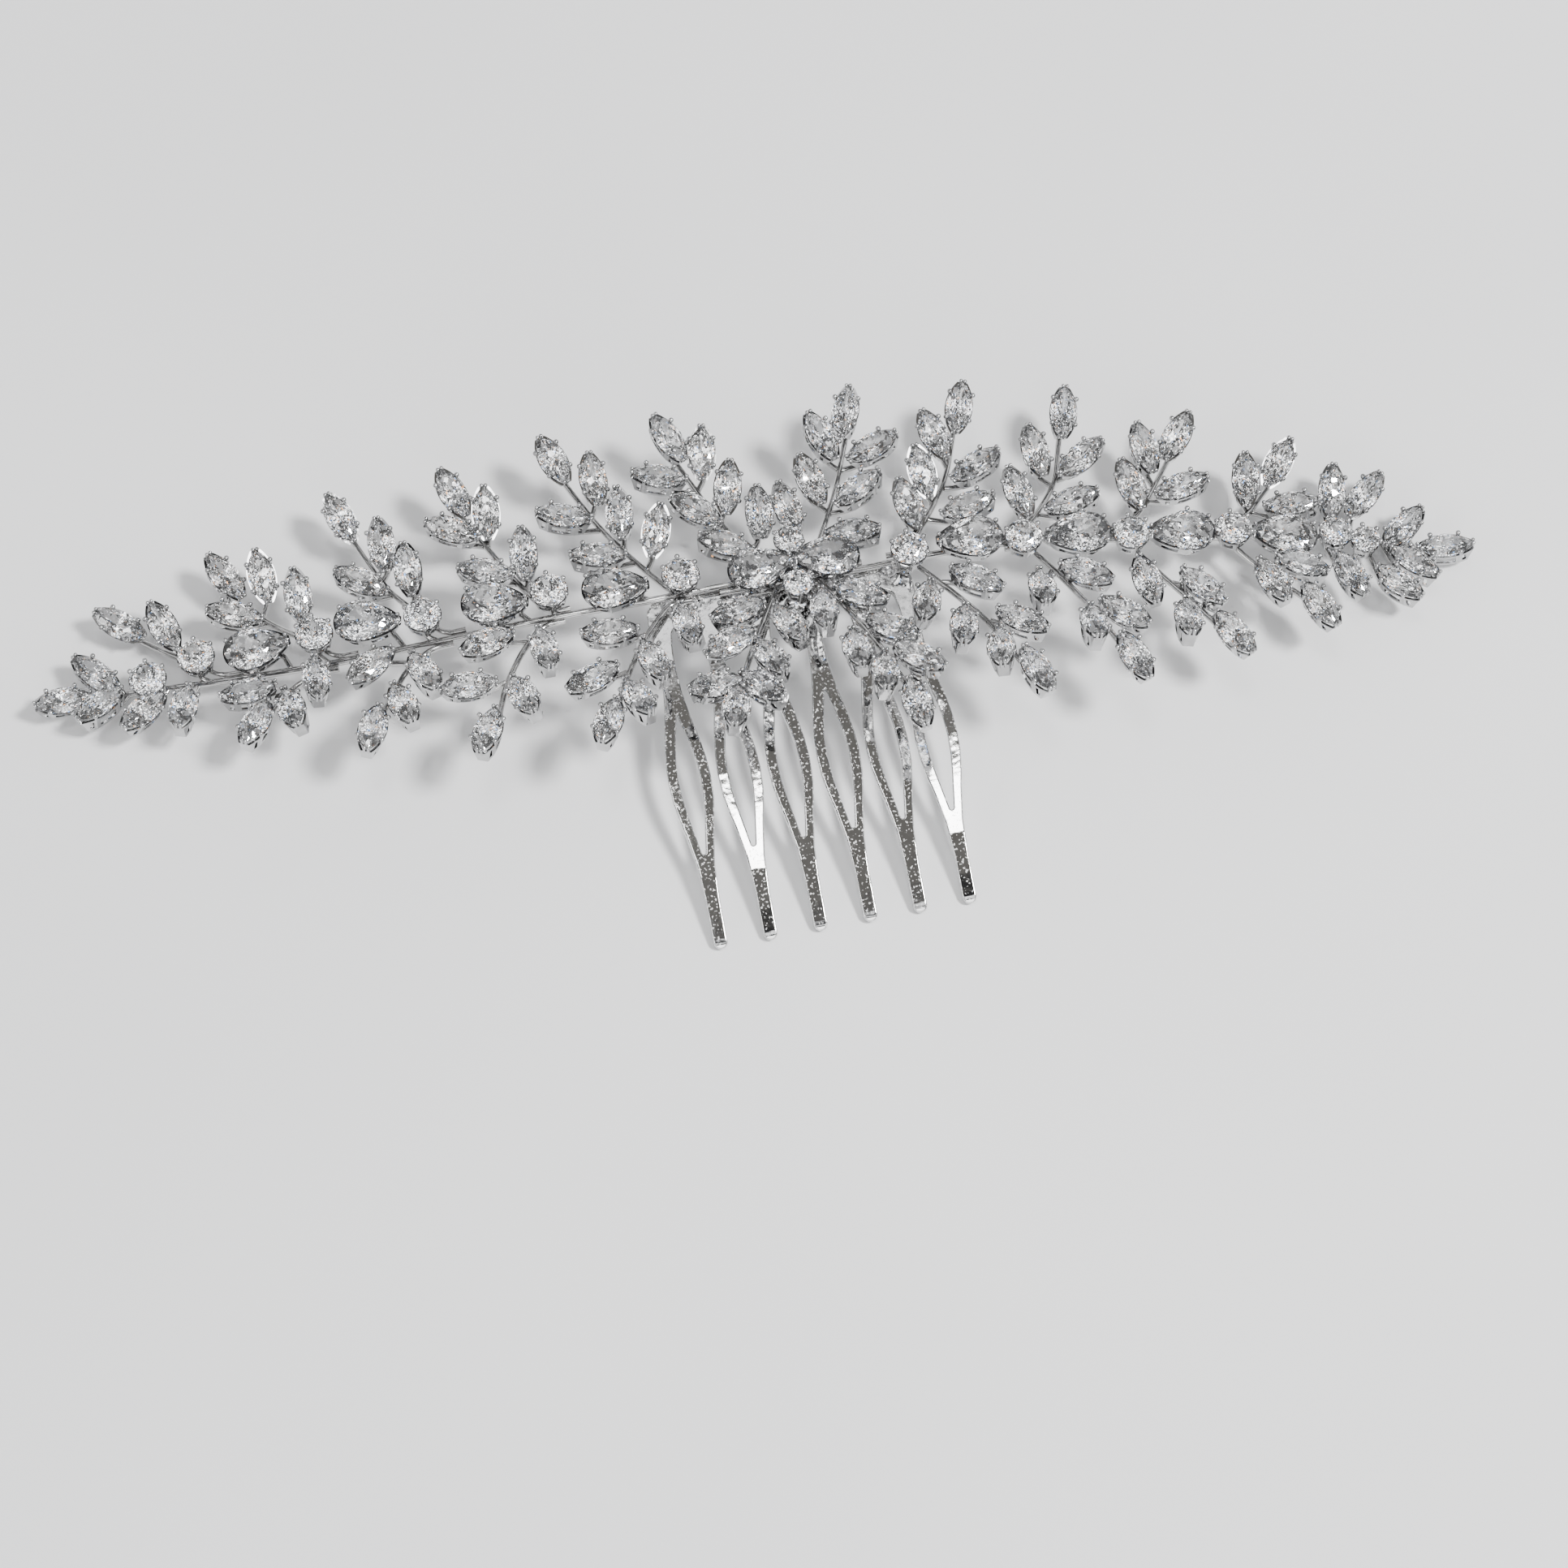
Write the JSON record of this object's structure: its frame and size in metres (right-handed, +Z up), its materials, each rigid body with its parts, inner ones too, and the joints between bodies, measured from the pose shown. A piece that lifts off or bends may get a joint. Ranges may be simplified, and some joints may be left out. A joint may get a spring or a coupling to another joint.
{
  "type": "decorative hair comb",
  "caption": "Decorative hair comb: a bent metal comb under a long bowed vine of claw-set clear stones on wire stems.",
  "frame": {"origin": "middle of the footprint, on the surface that the comb's tooth tips and the vine's two ends rest on", "axes": "+X along the vine, -Y towards the tooth tips, +Z up out of the stones' faces"},
  "size_m": [0.2006, 0.077, 0.0192],
  "materials": {
    "comb_metal": "bright silver-coloured plate, fine handling marks",
    "wire_metal": "bright silver-coloured plated wire",
    "setting_metal": "bright silver-coloured plated castings",
    "solder": "plated solder, slightly dull",
    "clear_stone": "clear cut stone, polished facets"
  },
  "bodies": {
    "root": {"centre_spray_settings": "setting_metal", "centre_spray_stems": "wire_metal", "centre_spray_stones": "clear_stone", "comb": "comb_metal", "left_spray_1_settings": "setting_metal", "left_spray_1_stems": "wire_metal", "left_spray_1_stones": "clear_stone", "left_spray_2_settings": "setting_metal", "left_spray_2_stems": "wire_metal", "left_spray_2_stones": "clear_stone", "left_spray_3_settings": "setting_metal", "left_spray_3_stems": "wire_metal", "left_spray_3_stones": "clear_stone", "left_spray_4_settings": "setting_metal", "left_spray_4_stems": "wire_metal", "left_spray_4_stones": "clear_stone", "left_spray_5_settings": "setting_metal", "left_spray_5_stems": "wire_metal", "left_spray_5_stones": "clear_stone", "left_spray_6_settings": "setting_metal", "left_spray_6_stems": "wire_metal", "left_spray_6_stones": "clear_stone", "left_spray_7_settings": "setting_metal", "left_spray_7_stems": "wire_metal", "left_spray_7_stones": "clear_stone", "right_spray_1_settings": "setting_metal", "right_spray_1_stems": "wire_metal", "right_spray_1_stones": "clear_stone", "right_spray_2_settings": "setting_metal", "right_spray_2_stems": "wire_metal", "right_spray_2_stones": "clear_stone", "right_spray_3_settings": "setting_metal", "right_spray_3_stems": "wire_metal", "right_spray_3_stones": "clear_stone", "right_spray_4_settings": "setting_metal", "right_spray_4_stems": "wire_metal", "right_spray_4_stones": "clear_stone", "right_spray_5_settings": "setting_metal", "right_spray_5_stems": "wire_metal", "right_spray_5_stones": "clear_stone", "right_spray_6_settings": "setting_metal", "right_spray_6_stems": "wire_metal", "right_spray_6_stones": "clear_stone", "right_spray_7_settings": "setting_metal", "right_spray_7_stems": "wire_metal", "right_spray_7_stones": "clear_stone", "solder_joints": "solder", "spine_wire_left": "wire_metal", "spine_wire_right": "wire_metal"}
  },
  "joints": []
}
